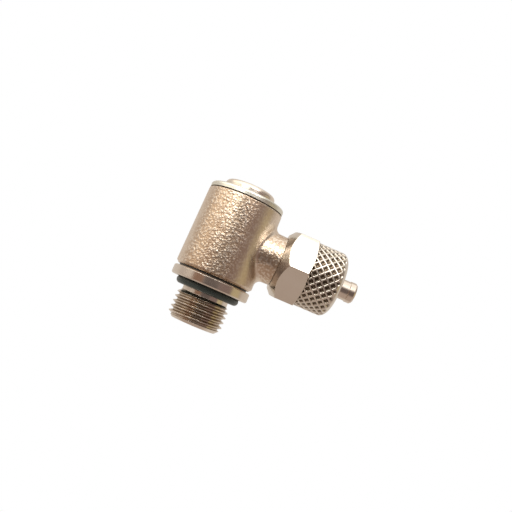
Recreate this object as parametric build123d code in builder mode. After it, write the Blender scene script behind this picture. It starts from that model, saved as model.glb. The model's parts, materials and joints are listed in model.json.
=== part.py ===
from build123d import *
import os

# Swivelling pneumatic flow control valve with a threaded port stem and a push-on tube fitting.
# Frame: origin on the port thread's axis, on the seating face under the stem's flange.
# +Z runs up the stem to its retaining cap, +X runs out along the tube spigot. Millimetres.

# ---- driving dimensions ----
port_thread_radius = 9.728 / 2  # G 1/8 port thread, 28 threads per inch
port_thread_pitch = 25.4 / 28
port_thread_depth = 0.581
stem_bottom = -7.0
neck_radius = 4.2
flange_radius = 7.08
flange_height = 1.7
body_foot_radius = 7.08  # a slight draft, as cast
body_top_radius = 6.9
body_bottom = 2.05
body_top = 16.5
port_height = 9.1  # height of the tube spigot's axis
swivel_radius = 5.0  # the body's bore
washer_radius = 6.85
washer_thickness = 0.95
cap_radius = 4.65
cap_top = 19.15
cap_rim_fillet = 0.75
boss_root_radius = 4.6
boss_end_radius = 4.5
boss_thread_radius = 4.0
boss_thread_pitch = 1.0
boss_thread_end = 14.5
nut_start = 9.45
nut_across_flats = 12.0
nut_turn = 5  # degrees past a corner facing the side, as tightened
hexagon_end = 14.85
knurl_radius = 5.95
knurl_end = 19.4
nut_end = 20.9
spigot_end = 24.1
spigot_tip_radius = 1.9  # enters tube of 6 mm outside and 4 mm inside diameter
barb_radius = 2.15
tube_hole_radius = 3.1
needle_travel = 1.0  # each way from rest, half a millimetre for each turn
running_gap = 0.02
swivel_clearance = 0.05

# ---- values worked out from them ----
barrel_radius = swivel_radius - swivel_clearance
washer_bottom = body_top + 0.15
washer_top = washer_bottom + washer_thickness
boss_end = nut_start - 0.05
nut_bore_radius = boss_thread_radius + 0.04
spigot_axis = Axis((0, 0, port_height), (1, 0, 0))

os.makedirs("parts", exist_ok=True)


def about_spigot(points):
    """Turns (length along X, radius about the spigot's axis) into points of the XZ plane."""
    return [(along, port_height + radius) for along, radius in points]


def thread_ridge(root_radius, depth, pitch, length):
    """The raised ridge of a right-hand thread about +Z from z = 0, chamfered to its root at both ends."""
    flank_run = 0.33 * pitch
    crest_half = 0.08 * pitch
    sunk = 0.05
    with BuildPart() as ridge:
        with BuildLine() as path:
            Helix(
                pitch=pitch,
                height=length + pitch,
                radius=root_radius,
                center=(0, 0, -pitch / 2),
            )
        with BuildSketch(Plane(origin=path.line @ 0, x_dir=(1, 0, 0), z_dir=(0, -1, 0))):
            Polygon(
                (-sunk, -crest_half - flank_run),
                (depth, -crest_half),
                (depth, crest_half),
                (-sunk, crest_half + flank_run),
            )
        sweep(path=path.line, is_frenet=True)
        with BuildSketch(Plane.XZ):
            Polygon(
                (0, 0),
                (root_radius, 0),
                (root_radius + depth + sunk, depth + sunk),
                (root_radius + depth + sunk, length - depth - sunk),
                (root_radius, length),
                (0, length),
            )
        revolve(axis=Axis.Z, mode=Mode.INTERSECT)
    return ridge.part


# ---- stem: threaded end, flange and barrel, turned in one piece ----
port_root_radius = port_thread_radius - port_thread_depth
thread_top = -1.9
thread_lead_in = 0.3
o_ring_recess_radius = 6.0
o_ring_recess_depth = 0.25
lower_groove = (2.5, 3.6)
upper_groove = (14.0, 15.1)
lip_groove = (6.1, 7.7)
groove_floor_radius = 4.05
check_port_height = 4.9
check_relief = (4.2, 6.15)
main_bore_radius = 2.8
main_bore_chamfer = 0.4
seat_bottom = 5.9
seat_top = 7.6
metering_bore_radius = 2.0
guide_bottom = 11.7
guide_top = 16.8
guide_radius = 2.45
gasket_thickness = 0.3
socket_floor = 17.1
socket_across_flats = 5.0
stem_top_radius = 3.7
stem_top = cap_top - 0.15

with BuildPart() as stem:
    with BuildSketch(Plane.XZ):
        Polygon(
            (0, stem_bottom),
            (port_root_radius - 0.1, stem_bottom),
            (port_root_radius, stem_bottom + 0.1),
            (port_root_radius, thread_top - 0.1),
            (neck_radius, thread_top),
            (neck_radius, o_ring_recess_depth),
            (o_ring_recess_radius, o_ring_recess_depth),
            (o_ring_recess_radius, 0),
            (flange_radius, 0),
            (flange_radius, flange_height),
            (barrel_radius, flange_height),
            (barrel_radius, washer_bottom),
            (stem_top_radius, washer_bottom),
            (stem_top_radius, stem_top),
            (0, stem_top),
        )
    revolve(axis=Axis.Z)
    flange_rims = stem.edges().filter_by(GeomType.CIRCLE).filter_by(
        lambda edge: abs(edge.radius - flange_radius) < 0.001
    )
    chamfer(flange_rims, 0.2)
    port_ridge = thread_ridge(
        port_root_radius, port_thread_depth, port_thread_pitch, thread_top - 0.1 - stem_bottom
    )
    add(port_ridge.moved(Location((0, 0, stem_bottom))))
    # lead-in cone that starts the thread in its port
    with BuildSketch(Plane.XZ):
        Polygon(
            (port_root_radius - thread_lead_in, stem_bottom),
            (port_root_radius - thread_lead_in, stem_bottom - 1),
            (port_thread_radius + 1, stem_bottom - 1),
            (port_thread_radius + 1, stem_bottom + port_thread_depth + 2 * thread_lead_in + 0.7),
        )
    revolve(axis=Axis.Z, mode=Mode.SUBTRACT)
    # grooves for the two swivel O-rings and the lip seal, and the relief that feeds the lip
    with BuildSketch(Plane.XZ):
        for floor_radius, (low, high) in (
            (groove_floor_radius, lower_groove),
            (groove_floor_radius, upper_groove),
            (groove_floor_radius, lip_groove),
            (barrel_radius - 0.4, check_relief),
        ):
            Polygon(
                (floor_radius, low),
                (barrel_radius + 1, low),
                (barrel_radius + 1, high),
                (floor_radius, high),
            )
    revolve(axis=Axis.Z, mode=Mode.SUBTRACT)
    # stepped bore: main passage, metering chamber and the guide's bore
    with BuildSketch(Plane.XZ):
        Polygon(
            (0, stem_bottom - 1),
            (main_bore_radius + main_bore_chamfer, stem_bottom - 1),
            (main_bore_radius + main_bore_chamfer, stem_bottom),
            (main_bore_radius, stem_bottom + main_bore_chamfer),
            (main_bore_radius, seat_top),
            (metering_bore_radius, seat_top),
            (metering_bore_radius, guide_bottom - gasket_thickness),
            (guide_radius, guide_bottom - gasket_thickness),
            (guide_radius, socket_floor + 0.1),
            (0, socket_floor + 0.1),
        )
    revolve(axis=Axis.Z, mode=Mode.SUBTRACT)
    # hexagon socket that screws the stem into its port
    with BuildSketch(Plane.XY.offset(socket_floor)):
        RegularPolygon(socket_across_flats / 2, 6, major_radius=False)
    extrude(amount=stem_top - socket_floor + 1, mode=Mode.SUBTRACT)
    # metered outlets into the body's chamber, then the free-flow ports under the lip seal
    for height, hole_radius, first_turn in (
        (port_height, 1.1, 45),
        (check_port_height, 0.65, 0),
    ):
        for turn in (first_turn, first_turn + 90):
            across = Vector(1, 0, 0).rotate(Axis.Z, turn)
            with BuildSketch(Plane(origin=(0, 0, height), z_dir=across)):
                Circle(hole_radius)
            extrude(amount=body_foot_radius, both=True, mode=Mode.SUBTRACT)
stem.part.label = "stem"
export_step(stem.part, "parts/stem.step")

# ---- orifice ring pressed up into the stem ----
orifice_radius = 1.2

with BuildPart() as seat_ring:
    with BuildSketch(Plane.XZ):
        Polygon(
            (orifice_radius, seat_top),
            (orifice_radius, seat_bottom + 0.5),
            (orifice_radius + 0.5, seat_bottom),
            (main_bore_radius, seat_bottom),
            (main_bore_radius, seat_top),
        )
    revolve(axis=Axis.Z)
seat_ring.part.label = "seat_ring"
export_step(seat_ring.part, "parts/seat_ring.step")

# ---- needle guide: slotted bush whose narrow top thread drives the needle ----
needle_bore_radius = 2.05
needle_thread_radius = 1.75
guide_shoulder = 15.1

with BuildPart() as needle_guide:
    with BuildSketch(Plane.XZ):
        Polygon(
            (needle_bore_radius, guide_bottom),
            (guide_radius, guide_bottom),
            (guide_radius, guide_top),
            (needle_thread_radius, guide_top),
            (needle_thread_radius, guide_shoulder),
            (needle_bore_radius, guide_shoulder),
        )
    revolve(axis=Axis.Z)
    with BuildSketch(Plane.XY.offset(guide_top - 0.6)):
        Rectangle(2 * guide_radius + 1, 0.8)
    extrude(amount=1, mode=Mode.SUBTRACT)
needle_guide.part.label = "needle_guide"
export_step(needle_guide.part, "parts/needle_guide.step")

# ---- metering needle, half open, with its sealing piston and driver slot ----
needle_radius = needle_bore_radius - swivel_clearance
needle_tip = 6.8
cone_top = seat_top + needle_travel + swivel_clearance
piston_bottom = guide_bottom + needle_travel + 0.15
piston_top = guide_shoulder - needle_travel - swivel_clearance
needle_groove = (13.1, 13.8)
needle_groove_radius = 1.45
needle_top = 17.0
slot_depth = 0.9

with BuildPart() as needle:
    with BuildSketch(Plane.XZ):
        Polygon(
            (0, needle_tip),
            (0.4, needle_tip),
            (orifice_radius, cone_top),
            (orifice_radius, piston_bottom),
            (needle_radius, piston_bottom),
            (needle_radius, needle_groove[0]),
            (needle_groove_radius, needle_groove[0]),
            (needle_groove_radius, needle_groove[1]),
            (needle_radius, needle_groove[1]),
            (needle_radius, piston_top),
            (needle_thread_radius - swivel_clearance, piston_top),
            (needle_thread_radius - swivel_clearance, needle_top - 0.2),
            (needle_thread_radius - 0.25, needle_top),
            (0, needle_top),
        )
    revolve(axis=Axis.Z)
    with BuildSketch(Plane.XY.offset(needle_top - slot_depth)):
        Rectangle(2 * needle_radius, 0.6)
    extrude(amount=slot_depth, mode=Mode.SUBTRACT)
needle.part.label = "needle"
export_step(needle.part, "parts/needle.step")

# ---- O-rings about the stem's axis: (middle radius, section radius, middle height) ----
o_rings = {
    "needle_o_ring": (1.755, 0.285, sum(needle_groove) / 2),
    "lower_swivel_o_ring": (4.52, 0.45, sum(lower_groove) / 2),
    "upper_swivel_o_ring": (4.52, 0.45, sum(upper_groove) / 2),
    "port_o_ring": (5.08, 0.72, o_ring_recess_depth - running_gap - 0.72),
}
for node, (middle_radius, section_radius, height) in o_rings.items():
    with BuildPart() as o_ring:
        with BuildSketch(Plane.XZ):
            with Locations((middle_radius, height)):
                Circle(section_radius)
        revolve(axis=Axis.Z)
    o_ring.part.label = node
    export_step(o_ring.part, f"parts/{node}.step")

# ---- flat rings about the stem's axis: (inner radius, outer radius, bottom, top) ----
flat_rings = {
    "guide_gasket": (needle_bore_radius, guide_radius, guide_bottom - gasket_thickness, guide_bottom),
    "lower_slip_ring": (swivel_radius, 6.3, flange_height, body_bottom - running_gap),
    "upper_slip_ring": (swivel_radius, 6.55, body_top + running_gap, washer_bottom),
}
for node, (inner_radius, outer_radius, bottom, top) in flat_rings.items():
    with BuildPart() as flat_ring:
        with BuildSketch(Plane.XY.offset(bottom)):
            Circle(outer_radius)
            Circle(inner_radius, mode=Mode.SUBTRACT)
        extrude(amount=top - bottom)
    flat_ring.part.label = node
    export_step(flat_ring.part, f"parts/{node}.step")

# ---- lip seal: its skirt points up, so air passes it on the way up and not back down ----
lip_bottom = lip_groove[0] + 0.1
lip_top = lip_groove[1] - 0.1
lip_tip_radius = swivel_radius - running_gap

with BuildPart() as check_lip_seal:
    with BuildSketch(Plane.XZ):
        Polygon(
            (groove_floor_radius + running_gap, lip_bottom),
            (4.6, lip_bottom),
            (lip_tip_radius, lip_top - 0.15),
            (lip_tip_radius - 0.2, lip_top),
            (4.52, lip_bottom + 0.65),
            (4.35, lip_top),
            (groove_floor_radius + running_gap, lip_top),
        )
    revolve(axis=Axis.Z)
check_lip_seal.part.label = "check_lip_seal"
export_step(check_lip_seal.part, "parts/check_lip_seal.step")

# ---- bright washer with a rounded upper rim ----
with BuildPart() as top_washer:
    with BuildSketch(Plane.XY.offset(washer_bottom)):
        Circle(washer_radius)
        Circle(stem_top_radius + swivel_clearance, mode=Mode.SUBTRACT)
    extrude(amount=washer_thickness)
    washer_rims = top_washer.edges().filter_by(GeomType.CIRCLE).filter_by(
        lambda edge: abs(edge.radius - washer_radius) < 0.001
    )
    upper_rim = washer_rims.sort_by(Axis.Z)[-1]
    fillet(upper_rim, 0.45)
top_washer.part.label = "top_washer"
export_step(top_washer.part, "parts/top_washer.step")

# ---- round retaining cap that holds the washer and body on the stem ----
with BuildPart() as retaining_cap:
    with BuildSketch(Plane.XY.offset(washer_top)):
        Circle(cap_radius)
        Circle(stem_top_radius, mode=Mode.SUBTRACT)
    extrude(amount=cap_top - washer_top)
    fillet(retaining_cap.faces().sort_by(Axis.Z)[-1].outer_wire().edges(), cap_rim_fillet)
retaining_cap.part.label = "retaining_cap"
export_step(retaining_cap.part, "parts/retaining_cap.step")

# ---- swivelling body with its side boss ----
boss_thread_depth = 0.54
boss_thread_root = boss_thread_radius - boss_thread_depth
boss_thread_start = boss_end + 1
chamber_radius = 5.7
chamber_middle = port_height + 1.05  # its lower rim stays above the lip seal
chamber_half_height = 2.35
chamber_slope = 0.4
passage_radius = 1.5
spigot_seat_radius = 2.5
spigot_seat_start = 7.6
mouth_chamfer = 0.25
foot_chamfer = 0.45

with BuildPart() as banjo_body:
    with BuildSketch(Plane.XZ):
        Polygon(
            (0, body_bottom),
            (body_foot_radius - foot_chamfer, body_bottom),
            (body_foot_radius, body_bottom + foot_chamfer),
            (body_top_radius, body_top),
            (0, body_top),
        )
    revolve(axis=Axis.Z)
    body_rims = banjo_body.edges().filter_by(GeomType.CIRCLE).sort_by(Axis.Z)
    fillet(body_rims[-1], 0.2)
    with BuildSketch(Plane.XZ):
        Polygon(
            about_spigot(
                [
                    (0, 0),
                    (0, boss_root_radius),
                    (swivel_radius, boss_root_radius),
                    (boss_end, boss_end_radius),
                    (boss_end, 0),
                ]
            )
        )
    revolve(axis=spigot_axis)
    boss_joint = banjo_body.edges().filter_by(
        lambda edge: edge.geom_type not in (GeomType.CIRCLE, GeomType.LINE)
    )
    fillet(boss_joint, 1.1)
    # run-out neck, then the clamp nut's thread
    with BuildSketch(Plane.YZ.offset(boss_end)):
        with Locations((0, port_height)):
            Circle(boss_thread_root)
    extrude(amount=boss_thread_end - boss_end)
    nut_ridge = thread_ridge(
        boss_thread_root, boss_thread_depth, boss_thread_pitch, boss_thread_end - boss_thread_start
    )
    add(nut_ridge.moved(Location((boss_thread_start, 0, port_height), (0, 90, 0))))
    # swivel bore with the chamber round the metered outlets
    with BuildSketch(Plane.XZ):
        Polygon(
            (0, body_bottom - 1),
            (swivel_radius + mouth_chamfer, body_bottom - 1),
            (swivel_radius + mouth_chamfer, body_bottom),
            (swivel_radius, body_bottom + mouth_chamfer),
            (swivel_radius, chamber_middle - chamber_half_height),
            (chamber_radius, chamber_middle - chamber_half_height + chamber_slope),
            (chamber_radius, chamber_middle + chamber_half_height - chamber_slope),
            (swivel_radius, chamber_middle + chamber_half_height),
            (swivel_radius, body_top - mouth_chamfer),
            (swivel_radius + mouth_chamfer, body_top),
            (swivel_radius + mouth_chamfer, body_top + 1),
            (0, body_top + 1),
        )
    revolve(axis=Axis.Z, mode=Mode.SUBTRACT)
    # passage to the spigot's seat
    with BuildSketch(Plane.XZ):
        Polygon(
            about_spigot(
                [
                    (swivel_radius - 1, 0),
                    (swivel_radius - 1, passage_radius),
                    (spigot_seat_start, passage_radius),
                    (spigot_seat_start, spigot_seat_radius),
                    (boss_thread_end + 1, spigot_seat_radius),
                    (boss_thread_end + 1, 0),
                ]
            )
        )
    revolve(axis=spigot_axis, mode=Mode.SUBTRACT)
banjo_body.part.label = "banjo_body"
export_step(banjo_body.part, "parts/banjo_body.step")

# ---- tube spigot pressed into the boss, with a collar outside it and a barb at its tip ----
spigot_groove = (11.2, 12.2)
spigot_groove_radius = 1.85
collar_radius = 3.0
collar_end = boss_thread_end + 0.6
spigot_shank_radius = spigot_tip_radius - 0.12
barb_start = 16.5
barb_end = 17.4
tip_land_start = 22.9
spigot_bore_radius = 1.4

with BuildPart() as tube_spigot:
    with BuildSketch(Plane.XZ):
        Polygon(
            about_spigot(
                [
                    (spigot_seat_start, spigot_bore_radius),
                    (spigot_seat_start, spigot_seat_radius - 0.2),
                    (spigot_seat_start + 0.2, spigot_seat_radius),
                    (spigot_groove[0], spigot_seat_radius),
                    (spigot_groove[0], spigot_groove_radius),
                    (spigot_groove[1], spigot_groove_radius),
                    (spigot_groove[1], spigot_seat_radius),
                    (boss_thread_end, spigot_seat_radius),
                    (boss_thread_end, collar_radius),
                    (collar_end, collar_radius),
                    (collar_end, spigot_shank_radius),
                    (barb_start, spigot_shank_radius),
                    (barb_start, barb_radius),
                    (barb_end, barb_radius),
                    (barb_end + 1.2, spigot_shank_radius),
                    (tip_land_start - 0.2, spigot_shank_radius),
                    (tip_land_start, spigot_tip_radius),
                    (spigot_end - 0.3, spigot_tip_radius),
                    (spigot_end, spigot_tip_radius - 0.25),
                    (spigot_end, spigot_bore_radius + 0.1),
                    (spigot_end - 0.1, spigot_bore_radius),
                ]
            )
        )
    revolve(axis=spigot_axis)
tube_spigot.part.label = "tube_spigot"
export_step(tube_spigot.part, "parts/tube_spigot.step")

with BuildPart() as spigot_o_ring:
    with BuildSketch(Plane.XZ):
        with Locations((sum(spigot_groove) / 2, port_height + 2.17)):
            Circle(0.31)
    revolve(axis=spigot_axis)
spigot_o_ring.part.label = "spigot_o_ring"
export_step(spigot_o_ring.part, "parts/spigot_o_ring.step")

# ---- clamp nut: hexagon, grip band and rounded tail, with a cone inside that grips the tube ----
corner_radius = nut_across_flats / 3**0.5
front_face_radius = 5.1
front_corner_run = (corner_radius - front_face_radius) / 1.15
back_face_radius = 5.9
back_corner_run = (corner_radius - back_face_radius) / 2.2
tail_face_radius = 4.3
cone_start = 16.4

with BuildPart() as clamp_nut:
    # a corner of the hexagon faces each side, and a flat faces up and down
    with BuildSketch(Plane.YZ.offset(nut_start)):
        with Locations((0, port_height)):
            RegularPolygon(nut_across_flats / 2, 6, major_radius=False, rotation=nut_turn)
    extrude(amount=hexagon_end - nut_start)
    with BuildSketch(Plane.XZ):
        Polygon(
            about_spigot(
                [
                    (nut_start, 0),
                    (nut_start, front_face_radius),
                    (nut_start + front_corner_run, corner_radius),
                    (hexagon_end - back_corner_run, corner_radius),
                    (hexagon_end, back_face_radius),
                    (hexagon_end, 0),
                ]
            )
        )
    revolve(axis=spigot_axis, mode=Mode.INTERSECT)
    with BuildSketch(Plane.XZ):
        with BuildLine():
            Polyline(
                about_spigot(
                    [
                        (nut_end, tail_face_radius),
                        (nut_end, 0),
                        (hexagon_end - 1, 0),
                        (hexagon_end - 1, knurl_radius),
                        (knurl_end, knurl_radius),
                    ]
                )
            )
            ThreePointArc(
                *about_spigot(
                    [
                        (knurl_end, knurl_radius),
                        (knurl_end + 0.9, knurl_radius - 0.6),
                        (nut_end, tail_face_radius),
                    ]
                )
            )
        make_face()
    revolve(axis=spigot_axis)
    with BuildSketch(Plane.XZ):
        Polygon(
            about_spigot(
                [
                    (nut_start - 1, 0),
                    (nut_start - 1, nut_bore_radius + 0.2),
                    (nut_start, nut_bore_radius + 0.2),
                    (nut_start + 0.2, nut_bore_radius),
                    (cone_start, nut_bore_radius),
                    (cone_start + 1, tube_hole_radius),
                    (nut_end - 0.3, tube_hole_radius),
                    (nut_end, tube_hole_radius + 0.3),
                    (nut_end + 1, tube_hole_radius + 0.3),
                    (nut_end + 1, 0),
                ]
            )
        )
    revolve(axis=spigot_axis, mode=Mode.SUBTRACT)
clamp_nut.part.label = "clamp_nut"
export_step(clamp_nut.part, "parts/clamp_nut.step")
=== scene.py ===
import json
import math

import bmesh
import bpy
import numpy as np
from mathutils import Matrix, Vector

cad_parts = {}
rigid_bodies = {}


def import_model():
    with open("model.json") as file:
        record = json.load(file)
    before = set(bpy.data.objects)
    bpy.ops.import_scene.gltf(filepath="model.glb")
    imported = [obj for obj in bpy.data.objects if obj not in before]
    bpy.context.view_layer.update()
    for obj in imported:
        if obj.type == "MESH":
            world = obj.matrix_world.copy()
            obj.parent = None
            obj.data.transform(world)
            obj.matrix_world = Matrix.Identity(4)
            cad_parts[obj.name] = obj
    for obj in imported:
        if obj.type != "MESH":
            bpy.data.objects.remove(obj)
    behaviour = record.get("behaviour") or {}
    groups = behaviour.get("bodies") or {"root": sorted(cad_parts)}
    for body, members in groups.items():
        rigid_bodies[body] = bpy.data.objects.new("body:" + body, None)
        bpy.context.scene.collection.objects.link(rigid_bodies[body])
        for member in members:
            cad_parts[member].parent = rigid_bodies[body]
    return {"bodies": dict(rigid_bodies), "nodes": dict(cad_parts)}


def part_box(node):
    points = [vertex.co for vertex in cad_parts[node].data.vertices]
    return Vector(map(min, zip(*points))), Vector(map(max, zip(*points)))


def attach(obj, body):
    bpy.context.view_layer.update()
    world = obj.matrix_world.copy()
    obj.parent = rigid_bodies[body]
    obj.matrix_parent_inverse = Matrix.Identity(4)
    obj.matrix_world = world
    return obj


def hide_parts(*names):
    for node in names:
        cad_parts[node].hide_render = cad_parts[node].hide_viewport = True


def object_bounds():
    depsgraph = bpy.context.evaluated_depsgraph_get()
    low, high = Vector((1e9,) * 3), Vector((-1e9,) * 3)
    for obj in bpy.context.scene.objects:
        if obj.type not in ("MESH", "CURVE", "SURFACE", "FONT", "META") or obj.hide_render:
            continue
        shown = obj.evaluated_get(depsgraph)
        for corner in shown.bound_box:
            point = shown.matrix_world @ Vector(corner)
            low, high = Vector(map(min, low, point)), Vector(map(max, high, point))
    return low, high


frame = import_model()
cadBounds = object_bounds()
mm = 0.001
print("stage: frame loaded,", len(frame["nodes"]), "nodes")


# node helpers

def feed(tree, value, socket):
    # links another node's output, or sets a plain number, vector or colour
    if isinstance(value, bpy.types.NodeSocket):
        tree.links.new(value, socket)
    else:
        socket.default_value = value


def addNode(tree, kind, **values):
    # a keyword is a setting of the node, or one of its inputs with _ for a space
    node = tree.nodes.new(kind)
    for key, value in values.items():
        if hasattr(node, key):
            setattr(node, key, value)
        else:
            feed(tree, value, node.inputs[key.replace("_", " ")])
    return node


def newGroup(name, inputs, outputs):
    tree = bpy.data.node_groups.new(name, "ShaderNodeTree")
    for label, kind, value in inputs:
        socket = tree.interface.new_socket(label, in_out="INPUT", socket_type=kind)
        if value is not None:
            socket.default_value = value
    for label, kind in outputs:
        tree.interface.new_socket(label, in_out="OUTPUT", socket_type=kind)
    return tree, tree.nodes.new("NodeGroupInput"), tree.nodes.new("NodeGroupOutput")


def mathNode(tree, operation, a, b, clamp=False):
    node = addNode(tree, "ShaderNodeMath", operation=operation, use_clamp=clamp)
    feed(tree, a, node.inputs[0])
    feed(tree, b, node.inputs[1])
    return node.outputs[0]


def vectorNode(tree, operation, *values):
    node = addNode(tree, "ShaderNodeVectorMath", operation=operation)
    for index, value in enumerate(values):
        feed(tree, value, node.inputs[index])
    return node.outputs["Value"] if operation in ("DOT_PRODUCT", "LENGTH") else node.outputs[0]


def remap(tree, value, low, high, kind="LINEAR", **ends):
    node = addNode(tree, "ShaderNodeMapRange", interpolation_type=kind, Value=value, **ends)
    node.inputs["From Min"].default_value = low
    node.inputs["From Max"].default_value = high
    return node.outputs[0]


def mixColours(tree, share, first, second, blend="MIX"):
    mix = addNode(tree, "ShaderNodeMix", data_type="RGBA", blend_type=blend)
    for index, value in ((0, share), (6, first), (7, second)):
        feed(tree, (*value, 1) if isinstance(value, tuple) else value, mix.inputs[index])
    return mix.outputs[2]


def mixShaders(tree, share, first, second):
    mix = tree.nodes.new("ShaderNodeMixShader")
    for index, value in enumerate((share, first, second)):
        feed(tree, value, mix.inputs[index])
    return mix.outputs[0]


def addBump(tree, height, normal, depth):
    bump = addNode(tree, "ShaderNodeBump", Distance=depth, Strength=1.0, Height=height, Normal=normal)
    return bump.outputs[0]


# shared effects, each a group that any metal or rubber here can use

def softEdgeGroup():
    # rounds sharp corners by a small radius and marks where they are
    tree, start, end = newGroup(
        "softEdge",
        [("Radius", "NodeSocketFloat", 0.0001)],
        [("Normal", "NodeSocketVector"), ("Edge", "NodeSocketFloat")],
    )
    edgeGain = 5.0  # how soon a bent normal counts as an edge
    bevel = addNode(tree, "ShaderNodeBevel", samples=6, Radius=start.outputs["Radius"])
    plain = tree.nodes.new("ShaderNodeNewGeometry")
    facing = vectorNode(tree, "DOT_PRODUCT", bevel.outputs[0], plain.outputs["Normal"])
    bent = mathNode(tree, "SUBTRACT", 1.0, facing)
    feed(tree, bevel.outputs[0], end.inputs["Normal"])
    feed(tree, mathNode(tree, "MULTIPLY", bent, edgeGain, clamp=True), end.inputs["Edge"])
    return tree


def blastedGrainGroup():
    # rounded pebbles with pits between them, as shot blasting leaves on a casting, and a pit mask for
    # painted shade
    tree, start, end = newGroup(
        "blastedGrain",
        [
            ("Pebble Size", "NodeSocketFloat", 0.0005),
            ("Fine", "NodeSocketFloat", 0.3),
            ("Rubbed", "NodeSocketFloat", 0.5),
            ("Sharp Side", "NodeSocketVector", None),
        ],
        [("Height", "NodeSocketFloat"), ("Pits", "NodeSocketFloat")],
    )
    fineScale = 1.9  # fine grains to a pebble
    fadedFrom, sharpFrom = 0.62, 0.9  # cosine of the angle from Sharp Side
    pitRim, pitFloor = 0.42, 0.16  # pebble height
    here = tree.nodes.new("ShaderNodeTexCoord")
    place = here.outputs["Object"]
    scale = mathNode(tree, "DIVIDE", 1.0, start.outputs["Pebble Size"])
    bend = addNode(tree, "ShaderNodeTexNoise", Detail=1.0, Vector=place, Scale=scale)
    cells = addNode(
        tree, "ShaderNodeTexVoronoi", feature="SMOOTH_F1", Smoothness=0.35, Vector=place, Scale=scale
    )
    small = addNode(
        tree,
        "ShaderNodeTexNoise",
        Detail=3.0,
        Roughness=0.6,
        Vector=place,
        Scale=mathNode(tree, "MULTIPLY", scale, fineScale),
    )
    pebble = mathNode(tree, "SUBTRACT", 1.0, cells.outputs["Distance"])
    pebble = mathNode(tree, "MULTIPLY", pebble, bend.outputs[0])
    fine = mathNode(tree, "MULTIPLY", small.outputs[0], start.outputs["Fine"])
    height = mathNode(tree, "ADD", pebble, fine)
    # what faces Sharp Side keeps its full grain and painted pit shade, the rest fades down
    level = vectorNode(tree, "MULTIPLY", here.outputs["Normal"], (1.0, 1.0, 0.0))
    level = vectorNode(tree, "NORMALIZE", level)
    facing = vectorNode(tree, "DOT_PRODUCT", level, start.outputs["Sharp Side"])
    sideFade = mathNode(tree, "SUBTRACT", 1.0, start.outputs["Rubbed"])
    sharp = remap(tree, facing, fadedFrom, sharpFrom, kind="SMOOTHSTEP", To_Min=sideFade)
    pits = remap(tree, pebble, pitRim, pitFloor, kind="SMOOTHSTEP")
    feed(tree, mathNode(tree, "MULTIPLY", height, sharp), end.inputs["Height"])
    feed(tree, mathNode(tree, "MULTIPLY", pits, sharp), end.inputs["Pits"])
    return tree


def toolLinesGroup():
    # the fine rings that a lathe tool leaves round an axis
    tree, start, end = newGroup(
        "toolLines",
        [
            ("Origin", "NodeSocketVector", None),
            ("Axis", "NodeSocketVector", None),
            ("Feed", "NodeSocketFloat", 0.00008),
        ],
        [("Height", "NodeSocketFloat"), ("Streak", "NodeSocketFloat")],
    )
    streakScale = 0.16  # streaks to a line
    place = tree.nodes.new("ShaderNodeTexCoord").outputs["Object"]
    local = vectorNode(tree, "SUBTRACT", place, start.outputs["Origin"])
    along = vectorNode(tree, "DOT_PRODUCT", local, start.outputs["Axis"])
    down = addNode(tree, "ShaderNodeVectorMath", operation="SCALE", Scale=along)
    feed(tree, start.outputs["Axis"], down.inputs[0])
    radius = vectorNode(tree, "LENGTH", vectorNode(tree, "SUBTRACT", local, down.outputs[0]))
    travel = mathNode(tree, "DIVIDE", mathNode(tree, "ADD", along, radius), start.outputs["Feed"])
    for label, scale, detail in (("Height", 1.0, 2.0), ("Streak", streakScale, 1.0)):
        wave = addNode(tree, "ShaderNodeTexNoise", noise_dimensions="1D", Scale=scale, Detail=detail)
        feed(tree, travel, wave.inputs["W"])
        feed(tree, wave.outputs[0], end.inputs[label])
    return tree


def platingGroup():
    # slow, cloudy change of tone over a plated or moulded skin, and a painted tone along the edges,
    # lighter on metal and plastic as a painted highlight
    tree, start, end = newGroup(
        "plating",
        [
            ("Tone A", "NodeSocketColor", None),
            ("Tone B", "NodeSocketColor", None),
            ("Edge Tone", "NodeSocketColor", None),
            ("Edge", "NodeSocketFloat", 0.0),
            ("Cloud Size", "NodeSocketFloat", 0.004),
            ("Smooth", "NodeSocketFloat", 0.2),
            ("Rough", "NodeSocketFloat", 0.3),
        ],
        [("Color", "NodeSocketColor"), ("Roughness", "NodeSocketFloat")],
    )
    cloudLow, cloudHigh = 0.35, 0.65  # the part of the noise that is spread over both tones
    skin = start.outputs
    place = tree.nodes.new("ShaderNodeTexCoord").outputs["Object"]
    scale = mathNode(tree, "DIVIDE", 1.0, skin["Cloud Size"])
    cloud = addNode(tree, "ShaderNodeTexNoise", Detail=4.0, Roughness=0.55, Vector=place, Scale=scale)
    wide = remap(tree, cloud.outputs[0], cloudLow, cloudHigh)
    tones = mixColours(tree, wide, skin["Tone A"], skin["Tone B"])
    sheen = remap(tree, wide, 0.0, 1.0, To_Min=skin["Smooth"], To_Max=skin["Rough"])
    feed(tree, mixColours(tree, skin["Edge"], tones, skin["Edge Tone"]), end.inputs["Color"])
    feed(tree, sheen, end.inputs["Roughness"])
    return tree


def creviceShadeGroup():
    # painted shade: 1 deep in narrow pits and corners, 0 on open faces, from ambient occlusion
    tree, start, end = newGroup(
        "creviceShade",
        [("Reach", "NodeSocketFloat", 0.0004), ("Strength", "NodeSocketFloat", 1.0)],
        [("Mask", "NodeSocketFloat")],
    )
    openSky, shut = 0.9, 0.25  # share of the surroundings that the surface sees
    near = addNode(
        tree,
        "ShaderNodeAmbientOcclusion",
        samples=16,
        only_local=True,
        Distance=start.outputs["Reach"],
    )
    deep = remap(tree, near.outputs["AO"], openSky, shut)
    mask = mathNode(tree, "MULTIPLY", deep, start.outputs["Strength"], clamp=True)
    feed(tree, mask, end.inputs["Mask"])
    return tree


effects = {
    "softEdge": softEdgeGroup(),
    "creviceShade": creviceShadeGroup(),
    "blastedGrain": blastedGrainGroup(),
    "toolLines": toolLinesGroup(),
    "plating": platingGroup(),
}


def placeEffect(tree, effect, **values):
    return addNode(tree, "ShaderNodeGroup", node_tree=effects[effect], **values)


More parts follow.
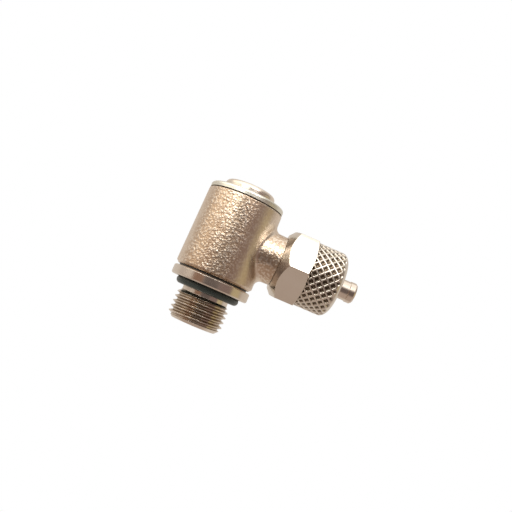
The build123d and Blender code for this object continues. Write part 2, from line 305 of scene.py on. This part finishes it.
def makeMaterial(name, look):
    material = bpy.data.materials.new(name)
    material.use_nodes = True
    tree = material.node_tree
    shader = tree.nodes["Principled BSDF"]
    shader.inputs["Metallic"].default_value = look["metal"]
    if "specular" in look:
        shader.inputs["Specular IOR Level"].default_value = look["specular"]
    edge = placeEffect(tree, "softEdge", Radius=look["edgeRadius"])
    smooth, rough = look["rough"]
    skin = placeEffect(
        tree,
        "plating",
        Tone_A=(*look["toneA"], 1),
        Tone_B=(*look["toneB"], 1),
        Edge_Tone=(*look["paintedEdgeTone"], 1),
        Edge=edge.outputs["Edge"],
        Cloud_Size=look["cloud"],
        Smooth=smooth,
        Rough=rough,
    )
    colour = skin.outputs["Color"]
    normal = edge.outputs["Normal"]
    if "lines" in look:
        turned = look["lines"]
        lines = placeEffect(
            tree, "toolLines", Origin=turned["origin"], Axis=turned["axis"], Feed=turned["feed"]
        )
        normal = addBump(tree, lines.outputs["Height"], normal, turned["depth"])
        normal = addBump(tree, lines.outputs["Streak"], normal, turned["depth"] * 2)
    if "grain" in look:
        blasted = look["grain"]
        grain = placeEffect(
            tree,
            "blastedGrain",
            Pebble_Size=blasted["size"],
            Fine=blasted["fine"],
            Rubbed=blasted["sideFade"],
            Sharp_Side=blasted["sharpSide"],
        )
        normal = addBump(tree, grain.outputs["Height"], normal, blasted["depth"])
        # painted shade in the grain pits, darkening the colour
        colour = mixColours(tree, grain.outputs["Pits"], colour, blasted["pitTone"], "MULTIPLY")
    # painted shade in pits, thread roots and corners, multiplied into the colour
    if "creviceShade" in look:
        paintedShade = look["creviceShade"]
        deep = placeEffect(tree, "creviceShade", Reach=paintedShade["reach"], Strength=paintedShade["strength"])
        colour = mixColours(tree, deep.outputs["Mask"], colour, paintedShade["tone"], "MULTIPLY")
    if "knurlPitShade" in look:
        # painted shade in the knurl pits, from the depth that the mesh code marks
        marked = addNode(tree, "ShaderNodeAttribute", attribute_name="knurlPitShade")
        colour = mixColours(tree, marked.outputs["Fac"], colour, look["knurlPitShade"]["tone"], "MULTIPLY")
    feed(tree, colour, shader.inputs["Base Color"])
    feed(tree, skin.outputs["Roughness"], shader.inputs["Roughness"])
    feed(tree, normal, shader.inputs["Normal"])
    return material


# where things are, from the frame

nutLow, nutHigh = (Vector(corner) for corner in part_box("clamp_nut"))
spigotAxis = Vector((0, (nutLow.y + nutHigh.y) / 2, (nutLow.z + nutHigh.z) / 2))


def inBody(body, point):
    return tuple(frame["bodies"][body].matrix_world.inverted() @ Vector(point))


# materials: what each piece is made of and how it is finished, in metres

nickel = {
    "metal": 1.0,
    "toneA": (0.72, 0.655, 0.585),
    "toneB": (0.68, 0.60, 0.515),
    # painted highlight along the edges
    "paintedEdgeTone": (0.84, 0.80, 0.73),
    "cloud": 0.005,
    "rough": (0.16, 0.24),
    "edgeRadius": 0.00009,
}
aboutStem = {"origin": (0.0, 0.0, 0.0), "axis": (0.0, 0.0, 1.0)}
aboutSpigot = {"origin": inBody("swivel_body", spigotAxis), "axis": (1.0, 0.0, 0.0)}
aboutNut = {"origin": inBody("clamp_nut", spigotAxis), "axis": (1.0, 0.0, 0.0)}

looks = {
    "stemNickel": dict(
        nickel,
        edgeRadius=0.00005,
        lines=dict(aboutStem, feed=0.00007, depth=0.0000012),
        # painted shade in the thread roots and corners
        creviceShade={"reach": 0.0008, "strength": 1.0, "tone": (0.46, 0.38, 0.27)},
    ),
    "capNickel": dict(
        nickel,
        toneA=(0.80, 0.73, 0.65),
        toneB=(0.75, 0.67, 0.58),
        rough=(0.24, 0.32),
        lines=dict(aboutStem, feed=0.00007, depth=0.0000016),
    ),
    "washerNickel": dict(
        nickel,
        toneA=(0.80, 0.79, 0.72),
        toneB=(0.74, 0.73, 0.65),
        rough=(0.28, 0.38),
        lines=dict(aboutStem, feed=0.00006, depth=0.000002),
    ),
    "spigotNickel": dict(
        nickel,
        toneA=(0.80, 0.70, 0.63),
        lines=dict(aboutSpigot, feed=0.00006, depth=0.0000014),
    ),
    "nutNickel": dict(
        nickel,
        toneA=(0.73, 0.68, 0.61),
        toneB=(0.70, 0.64, 0.565),
        rough=(0.17, 0.23),
        # painted shade in the knurl pits, bore threads and corners
        creviceShade={"reach": 0.0005, "strength": 1.0, "tone": (0.5, 0.45, 0.38)},
        # painted shade at the bottom of the knurl pits
        knurlPitShade={"tone": (0.2, 0.165, 0.13)},
        lines=dict(aboutNut, feed=0.00009, depth=0.0000008),
    ),
    "blastedNickel": dict(
        nickel,
        toneA=(0.80, 0.71, 0.61),
        toneB=(0.73, 0.63, 0.53),
        rough=(0.27, 0.34),
        grain={
            "size": 0.0004,
            "fine": 0.4,
            "depth": 0.000074,
            # painted shade in the grain pits
            "pitTone": (0.72, 0.62, 0.53),
            "sideFade": 0.72,
            "sharpSide": (-0.276, -0.961, 0.0),
        },
    ),
    "plainBrass": dict(
        nickel,
        toneA=(0.80, 0.60, 0.28),
        toneB=(0.73, 0.52, 0.22),
        # painted highlight along the edges
        paintedEdgeTone=(0.88, 0.72, 0.42),
        rough=(0.2, 0.32),
        lines=dict(aboutStem, feed=0.00008, depth=0.000002),
    ),
    "blackRubber": {
        "metal": 0.0,
        "specular": 0.45,
        "toneA": (0.040, 0.062, 0.061),
        "toneB": (0.050, 0.073, 0.071),
        # painted edge tone, a darker grey than the rubber
        "paintedEdgeTone": (0.04, 0.044, 0.045),
        "cloud": 0.002,
        "rough": (0.34, 0.48),
        "edgeRadius": 0.00004,
        "grain": {
            "size": 0.00018,
            "fine": 0.5,
            "depth": 0.000006,
            # painted shade in the grain pits
            "pitTone": (0.9, 0.9, 0.9),
            "sideFade": 0.0,
            "sharpSide": (1.0, 0.0, 0.0),
        },
    },
    "slipPlastic": {
        "metal": 0.0,
        "specular": 0.5,
        "toneA": (0.018, 0.017, 0.016),
        "toneB": (0.026, 0.024, 0.022),
        # painted highlight along the edges
        "paintedEdgeTone": (0.04, 0.038, 0.036),
        "cloud": 0.002,
        "rough": (0.4, 0.55),
        "edgeRadius": 0.00004,
    },
}
materials = {name: makeMaterial(name, look) for name, look in looks.items()}

finishOf = {  # the seals are left out, they are all black rubber
    "stem": "stemNickel",
    "retaining_cap": "capNickel",
    "top_washer": "washerNickel",
    "banjo_body": "blastedNickel",
    "tube_spigot": "spigotNickel",
    "seat_ring": "plainBrass",
    "needle_guide": "plainBrass",
    "needle": "plainBrass",
    "guide_gasket": "slipPlastic",
    "lower_slip_ring": "slipPlastic",
    "upper_slip_ring": "slipPlastic",
}
for node, obj in frame["nodes"].items():
    material = materials[finishOf.get(node, "blackRubber")]
    if not obj.material_slots:
        obj.data.materials.append(material)
    for holder in obj.material_slots:
        holder.material = material
print("stage: materials made,", len(materials))


# clamp nut: hexagon, crossed knurl, rounded tail, threaded bore

nut = {  # lengths in mm from the face that meets the boss, angles in degrees
    "hexagonLength": 5.4,
    "acrossFlats": 12.0,
    "turn": 5.0,  # how far a corner is from level
    "cornerRound": 0.14,
    "cornerSteps": 4,
    "flatSteps": 12,
    "frontFaceRadius": 5.1,
    "frontSlope": 1.15,  # radius gained for each mm along
    "backFaceRadius": 5.9,
    "backSlope": 2.2,
    "boreRadius": 4.04,
    "mouthChamfer": 0.2,
    "boreColumns": 120,
    "threadPitch": 1.0,
    "threadDepth": 0.42,
    "threadRunOut": 0.5,
    "threadRows": 14,  # for each turn
    "coneStart": 6.95,
    "coneLength": 1.0,
    "tubeHoleRadius": 3.1,
    "tailChamfer": 0.3,
    "knurlRadius": 5.95,
    "knurlLength": 4.55,
    "tailRadius": 4.3,
    "noseRoundness": 0.92,
    "noseRows": (0.1, 0.04, 0.0),  # before the end, closer where the nose turns in
    "knurlStarts": 25,  # ridges each way round
    "knurlAngle": 45.0,
    "ridgeWidth": 0.16,
    "wallWidth": 0.24,
    "wallShare": 0.85,  # of the pit's depth, the rest is its hollow floor
    "pitDepth": 0.34,
    "cellsPerRidge": 26,
    "darkDepth": 0.8,  # share of the pit's depth where its painted shade is full
    "darkCurve": 1.5,
    "hexagonTuck": 0.2,  # how far the shells run on under the knurl
    "knurlTuck": 0.3,
}


def hexagonOutline(shape):
    # (angle, radius) round the hexagon, with its corners rounded
    small = shape["cornerRound"]
    centre = (shape["acrossFlats"] / 2 - small) / math.cos(math.radians(30))
    steps = shape["cornerSteps"]
    arcs = []
    for corner in range(6):
        middle = math.radians(shape["turn"] + 60 * corner)
        for step in range(steps + 1):
            way = middle + math.radians(60 * step / steps - 30)
            x = centre * math.cos(middle) + small * math.cos(way)
            y = centre * math.sin(middle) + small * math.sin(way)
            arcs.append((x, y))
    outline = []
    for index, here in enumerate(arcs):
        outline.append(here)
        if index % (steps + 1) == steps:
            there = arcs[(index + 1) % len(arcs)]
            for step in range(1, shape["flatSteps"]):
                t = step / shape["flatSteps"]
                outline.append((here[0] + (there[0] - here[0]) * t, here[1] + (there[1] - here[1]) * t))
    return [(math.atan2(y, x), math.hypot(x, y)) for x, y in outline]


def hexagonShell(shape):
    length = shape["hexagonLength"]
    front, back = shape["frontFaceRadius"], shape["backFaceRadius"]
    columns = []
    for angle, radius in hexagonOutline(shape):
        frontRun = (radius - front) / shape["frontSlope"]
        backRun = (radius - back) / shape["backSlope"]
        profile = [
            (0.0, shape["boreRadius"] + shape["mouthChamfer"]),
            (0.0, front),
            (frontRun / 2, (front + radius) / 2),
            (frontRun, radius),
            (length / 2, radius),
            (length - backRun, radius),
            (length - backRun / 2, (back + radius) / 2),
            (length, back),
            (length, shape["knurlRadius"] - shape["pitDepth"] - shape["hexagonTuck"]),
        ]
        columns.append([(x, angle, r) for x, r in profile])
    return np.array(columns)


def tailRadiusAt(x, shape, end):
    # the turned outside: straight, then a round nose
    start = shape["hexagonLength"] + shape["knurlLength"]
    t = np.clip((x - start) / (end - start), 0, 1)
    drop = shape["knurlRadius"] - shape["tailRadius"]
    bend = 1 - np.sqrt(1 - shape["noseRoundness"] * t * t)
    return shape["knurlRadius"] - drop * bend / (1 - math.sqrt(1 - shape["noseRoundness"]))


def knurlShell(shape, end):
    starts = shape["knurlStarts"]
    around = starts * shape["cellsPerRidge"]
    angles = np.arange(around) / around * 2 * math.pi
    spacing = 2 * math.pi * shape["knurlRadius"] / starts  # round the nut
    slant = math.tan(math.radians(shape["knurlAngle"]))
    rowStep = spacing / slant / shape["cellsPerRidge"]
    first = shape["hexagonLength"]
    nose = [end - before for before in shape["noseRows"]]
    x, angle = np.meshgrid(np.append(np.arange(first, nose[0], rowStep), nose), angles)
    # distance from the nearest ridge of each hand
    reach = spacing * math.cos(math.radians(shape["knurlAngle"]))
    away = []
    for hand in (1, -1):
        turn = angle / (2 * math.pi) * starts + hand * x * slant / spacing
        away.append(np.abs(turn - np.round(turn)) * reach)
    gap = np.minimum(away[0], away[1]) - shape["ridgeWidth"] / 2
    wall = np.clip(gap / shape["wallWidth"], 0, 1)
    floor = np.clip(gap / (reach / 2), 0, 1)
    share = shape["wallShare"]
    pit = (wall * wall * (3 - 2 * wall) * share + floor * (1 - share)) * shape["pitDepth"]
    outside = tailRadiusAt(x, shape, end)
    radius = np.minimum(shape["knurlRadius"] - pit, outside)
    # how dark the painted shade in each pit is, by its depth
    dark = np.clip((outside - radius) / (shape["pitDepth"] * shape["darkDepth"]), 0, 1)
    body = np.stack([x, angle, radius, dark ** shape["darkCurve"]], axis=2)
    # rings that close the shell inside the hexagon and over the end face
    holeEdge = shape["tubeHoleRadius"] + shape["tailChamfer"]
    rings = [
        (first, shape["knurlRadius"] - shape["pitDepth"] - shape["knurlTuck"]),
        (end, (shape["tailRadius"] + holeEdge) / 2),
        (end, holeEdge),
    ]
    inner, middle, last = (
        np.stack([np.full(around, at), angles, np.full(around, level), np.zeros(around)], axis=1)[:, None]
        for at, level in rings
    )
    return np.concatenate([inner, body, middle, last], axis=1)


def threadedRadius(x, angle, shape):
    # a V groove with a flat root and crest, which fades in and out at its ends
    runOut = shape["threadRunOut"]
    phase = (x / shape["threadPitch"] - angle / (2 * math.pi)) % 1.0
    groove = min(1.0, max(0.0, (1 - abs(2 * phase - 1)) * 1.25 - 0.15))
    into = max(0.0, (x - shape["mouthChamfer"]) / runOut)
    outOf = max(0.0, (shape["coneStart"] - runOut - x) / runOut)
    return shape["boreRadius"] + groove * min(1.0, into, outOf) * shape["threadDepth"]


def boreShell(shape, end):
    mouth = shape["mouthChamfer"]
    hole = shape["tubeHoleRadius"]
    coneEnd = shape["coneStart"] + shape["coneLength"]
    lastThread = shape["coneStart"] - shape["threadRunOut"]
    threadRows = np.arange(lastThread, mouth + 0.05, -shape["threadPitch"] / shape["threadRows"])
    columns = []
    for angle in np.arange(shape["boreColumns"]) / shape["boreColumns"] * 2 * math.pi:
        column = [(end, hole + shape["tailChamfer"]), (end - shape["tailChamfer"], hole), (coneEnd, hole)]
        for x in (shape["coneStart"], *threadRows, mouth):
            column.append((x, threadedRadius(x, angle, shape)))
        column.append((0.0, shape["boreRadius"] + mouth))
        columns.append([(x, angle, radius) for x, radius in column])
    return np.array(columns)


def addShells(name, shells, origin, sharpShells, sharpAngle):
    # each shell is a grid of (along, angle, radius and maybe how dark its painted pit shade is), closed
    # round the axis
    points, faces, counts, knurlPitShade = [], [], [], []
    base = 0
    for shell in shells:
        around, along = shell.shape[:2]
        x, angle, radius = shell[..., 0], shell[..., 1], shell[..., 2]
        place = np.stack([x, radius * np.cos(angle), radius * np.sin(angle)], axis=2)
        points.append(place.reshape(-1, 3) * mm + np.array(origin))
        depth = shell[..., 3] if shell.shape[2] > 3 else np.zeros_like(x)
        knurlPitShade.append(depth.reshape(-1))
        rows = np.arange(along - 1)[None, :]
        here = base + np.arange(around)[:, None] * along + rows
        there = base + np.roll(np.arange(around), -1)[:, None] * along + rows
        faces.append(np.stack([here, there, there + 1, here + 1], axis=2).reshape(-1, 4))
        base += around * along
        counts.append(base)
    mesh = bpy.data.meshes.new(name)
    mesh.from_pydata(np.concatenate(points).tolist(), [], np.concatenate(faces).tolist())
    work = bmesh.new()
    work.from_mesh(mesh)
    bmesh.ops.recalc_face_normals(work, faces=work.faces)
    limit = math.radians(sharpAngle)
    for face in work.faces:
        face.smooth = True
    for edge in work.edges:
        shellIndex = next(i for i, count in enumerate(counts) if edge.verts[0].index < count)
        if shellIndex in sharpShells and edge.calc_face_angle(0.0) > limit:
            edge.smooth = False
    work.to_mesh(mesh)
    work.free()
    # painted pit shade, for the nut's material to darken its colour
    marks = mesh.attributes.new("knurlPitShade", "FLOAT", "POINT")
    marks.data.foreach_set("value", np.concatenate(knurlPitShade).astype(np.float32))
    obj = bpy.data.objects.new(name, mesh)
    bpy.context.scene.collection.objects.link(obj)
    return obj


nutEnd = (nutHigh.x - nutLow.x) / mm
clampNut = addShells(
    "clampNutKnurled",
    [hexagonShell(nut), knurlShell(nut, nutEnd), boreShell(nut, nutEnd)],
    origin=(nutLow.x, spigotAxis.y, spigotAxis.z),
    sharpShells=(0, 2),  # the knurl stays smooth
    sharpAngle=25,
)
clampNut.data.materials.append(materials["nutNickel"])
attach(clampNut, "clamp_nut")
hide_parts("clamp_nut")
print("stage: clamp nut,", len(clampNut.data.polygons), "faces")


# studio: white surround for the camera, large soft cards for the metal to reflect

studio = {
    "above": (0.80, 0.76, 0.71),
    "below": (0.52, 0.42, 0.36),
    "horizon": (-0.2, 0.35),  # height of a ray where below ends and above starts
    "cards": [  # direction, cosine where it starts and is full, colour
        ((0.85, -0.30, 0.35), 0.74, 0.90, (0.34, 0.29, 0.25)),
        ((0.05, -0.98, -0.18), 0.78, 0.94, (0.155, 0.122, 0.112)),
        ((-0.62, -0.78, 0.02), 0.94, 0.975, (0.30, 0.175, 0.12)),
        ((0.72, -0.68, 0.02), 0.90, 0.96, (0.26, 0.185, 0.17)),
        ((0.99, -0.12, -0.02), 0.945, 0.975, (0.60, 0.50, 0.30)),
        ((0.0, 1.0, 0.0), 0.15, 0.5, (0.74, 0.67, 0.60)),
        ((-0.80, -0.28, 0.64), 0.81, 0.94, (2.1, 1.9, 1.58)),
        ((-0.22, -0.42, 0.88), 0.66, 0.82, (1.62, 1.56, 1.48)),
        ((-0.05, -0.05, 1.0), 0.84, 0.93, (1.42, 1.38, 1.30)),
    ],
}


def buildStudio():
    world = bpy.data.worlds.new("studio")
    bpy.context.scene.world = world
    world.use_nodes = True
    tree = world.node_tree
    tree.nodes.clear()
    way = tree.nodes.new("ShaderNodeTexCoord").outputs["Generated"]
    split = tree.nodes.new("ShaderNodeSeparateXYZ")
    feed(tree, way, split.inputs[0])
    rise = remap(tree, split.outputs["Z"], *studio["horizon"], kind="SMOOTHSTEP")
    glow = mixColours(tree, rise, studio["below"], studio["above"])
    for direction, outer, inner, colour in studio["cards"]:
        facing = vectorNode(tree, "DOT_PRODUCT", way, Vector(direction).normalized())
        glow = mixColours(tree, remap(tree, facing, outer, inner, kind="SMOOTHSTEP"), glow, colour)
    surround = addNode(tree, "ShaderNodeBackground", Strength=1.0, Color=glow)
    white = addNode(tree, "ShaderNodeBackground", Strength=1.0, Color=(1, 1, 1, 1))
    ray = tree.nodes.new("ShaderNodeLightPath")
    picked = mixShaders(tree, ray.outputs["Is Camera Ray"], surround.outputs[0], white.outputs[0])
    end = tree.nodes.new("ShaderNodeOutputWorld")
    feed(tree, picked, end.inputs["Surface"])


paleFloor = {
    "drop": 30.0,  # mm under the valve
    "reach": 2000.0,
}


def buildFloor():
    level = cadBounds[0][2] - paleFloor["drop"] * mm
    reach = paleFloor["reach"] * mm
    corners = [(x * reach, y * reach, level) for x, y in ((-1, -1), (1, -1), (1, 1), (-1, 1))]
    mesh = bpy.data.meshes.new("paleFloor")
    mesh.from_pydata(corners, [], [(0, 1, 2, 3)])
    floor = bpy.data.objects.new("paleFloor", mesh)
    bpy.context.scene.collection.objects.link(floor)
    material = bpy.data.materials.new("paleFloor")
    material.use_nodes = True
    tree = material.node_tree
    tree.nodes.clear()
    # clear from below, so that the underside can be looked at
    ray = tree.nodes.new("ShaderNodeLightPath").outputs["Is Camera Ray"]
    under = tree.nodes.new("ShaderNodeNewGeometry").outputs["Backfacing"]
    seen = mathNode(tree, "SUBTRACT", ray, under, clamp=True)
    clear = tree.nodes.new("ShaderNodeBsdfTransparent")
    pale = addNode(tree, "ShaderNodeEmission", Strength=1.0)
    end = tree.nodes.new("ShaderNodeOutputMaterial")
    feed(tree, mixShaders(tree, seen, clear.outputs[0], pale.outputs[0]), end.inputs["Surface"])
    mesh.materials.append(material)


# both stand close in, so that the top of the body is brighter
lights = {  # mm and watts
    "keyLight": {
        "place": (-26.0, -50.0, 40.0),
        "aim": (0.0, -6.0, 13.0),
        "width": 34.0,
        "power": 0.0105,
        "colour": (0.95, 0.98, 0.92),
    },
    "fillLight": {
        "place": (14.0, -40.0, 44.0),
        "aim": (0.0, -6.0, 14.0),
        "width": 26.0,
        "power": 0.0068,
        "colour": (1.0, 0.95, 0.91),
    },
}


def buildLight(name, lamp):
    data = bpy.data.lights.new(name, "AREA")
    data.shape = "DISK"
    data.size = lamp["width"] * mm
    data.energy = lamp["power"]
    data.color = lamp["colour"]
    light = bpy.data.objects.new(name, data)
    place = Vector(lamp["place"]) * mm
    aim = Vector(lamp["aim"]) * mm
    light.location = place
    light.rotation_euler = (aim - place).to_track_quat("-Z", "Y").to_euler()
    light.visible_camera = False
    bpy.context.scene.collection.objects.link(light)


buildStudio()
for name, lamp in lights.items():
    buildLight(name, lamp)
buildFloor()
bpy.context.scene.view_settings.view_transform = "Standard"
print("stage: studio")


# camera

view = {
    "target": (5.428, 0.0, 8.444),  # mm
    "distance": 106.07,
    "yaw": 1.96,  # degrees
    "pitch": 5.6,
    "roll": 23.25,
    "lens": 42.19,
    "sensor": 36.0,
    "clip": (5.0, 10000.0),
}


def buildCamera():
    yaw, pitch, roll = (math.radians(view[key]) for key in ("yaw", "pitch", "roll"))
    forward = Vector(
        (math.sin(yaw) * math.cos(pitch), math.cos(yaw) * math.cos(pitch), math.sin(pitch))
    )
    level = forward.cross(Vector((0, 0, 1))).normalized()
    upright = level.cross(forward)
    right = level * math.cos(roll) + upright * math.sin(roll)
    up = upright * math.cos(roll) - level * math.sin(roll)
    place = Vector(view["target"]) * mm - forward * view["distance"] * mm
    turn = Matrix((right, up, -forward)).transposed().to_4x4()
    data = bpy.data.cameras.new("camera")
    data.lens = view["lens"]
    data.sensor_width = view["sensor"]
    data.clip_start, data.clip_end = (limit * mm for limit in view["clip"])
    camera = bpy.data.objects.new("camera", data)
    camera.matrix_world = Matrix.Translation(place) @ turn
    bpy.context.scene.collection.objects.link(camera)
    bpy.context.scene.camera = camera


buildCamera()

print("stage: done")
